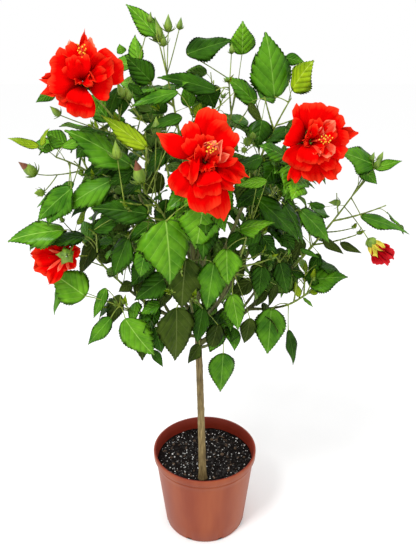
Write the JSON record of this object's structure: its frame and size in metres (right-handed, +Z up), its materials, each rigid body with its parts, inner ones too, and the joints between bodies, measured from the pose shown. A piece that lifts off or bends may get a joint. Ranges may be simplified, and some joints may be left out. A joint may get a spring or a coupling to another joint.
{
  "type": "potted hibiscus shrub",
  "caption": "Flowering shrub grown as a small tree: a bare trunk in a filled nursery pot, forking into boughs that carry a round crown of toothed leaves and double flowers.",
  "frame": {"origin": "centre of the pot's flat underside", "axes": "+Z up along the pot's axis, -Y towards the plant's best side, +X to the right seen from there"},
  "size_m": [0.7421, 0.639, 1.1981],
  "materials": {
    "pot": "moulded terracotta-coloured plastic, satin",
    "soil": "damp potting mix of bark and peat",
    "trunk_bark": "smooth olive-brown bark",
    "bough_bark": "young green-brown bark",
    "foliage_dark": "waxy leaf",
    "foliage_mid": "waxy leaf",
    "foliage_bright": "glossy young leaf"
  },
  "bodies": {
    "root": {"pot": "pot", "soil": "soil", "trunk": "trunk_bark", "bough_leader": "bough_bark", "bough_top_centre": "bough_bark", "bough_top_left": "bough_bark", "bough_rear_left": "bough_bark", "bough_back_top": "bough_bark", "bough_top_right": "bough_bark", "bough_right_high": "bough_bark", "bough_rear_right": "bough_bark", "bough_high_left": "bough_bark", "bough_left_high": "bough_bark", "bough_left": "bough_bark", "bough_left_low": "bough_bark", "bough_side_left": "bough_bark", "bough_front": "bough_bark", "bough_front_left": "bough_bark", "bough_front_low": "bough_bark", "bough_front_right": "bough_bark", "bough_right_mid": "bough_bark", "bough_right": "bough_bark", "bough_right_low": "bough_bark", "bough_side_right": "bough_bark", "bough_low": "bough_bark", "bough_back": "bough_bark", "bough_back_left": "bough_bark", "bough_back_right": "bough_bark", "bough_back_low": "bough_bark", "mass_leader": "foliage_bright", "mass_top_centre": "foliage_bright", "mass_top_right": "foliage_bright", "mass_top_left": "foliage_bright", "mass_left_high": "foliage_bright", "mass_left": "foliage_mid", "mass_left_low": "foliage_mid", "mass_front_left": "foliage_bright", "mass_front": "foliage_bright", "mass_front_low": "foliage_mid", "mass_front_right": "foliage_bright", "mass_right": "foliage_mid", "mass_right_mid": "foliage_bright", "mass_right_high": "foliage_bright", "mass_right_low": "foliage_mid", "mass_low": "foliage_dark", "mass_back_left": "foliage_dark", "mass_back": "foliage_dark", "mass_back_right": "foliage_dark", "mass_back_top": "foliage_mid", "mass_back_low": "foliage_dark", "mass_side_left": "foliage_dark", "mass_side_right": "foliage_dark", "mass_rear_left": "foliage_mid", "mass_rear_right": "foliage_mid", "mass_high_left": "foliage_mid"}
  },
  "joints": []
}
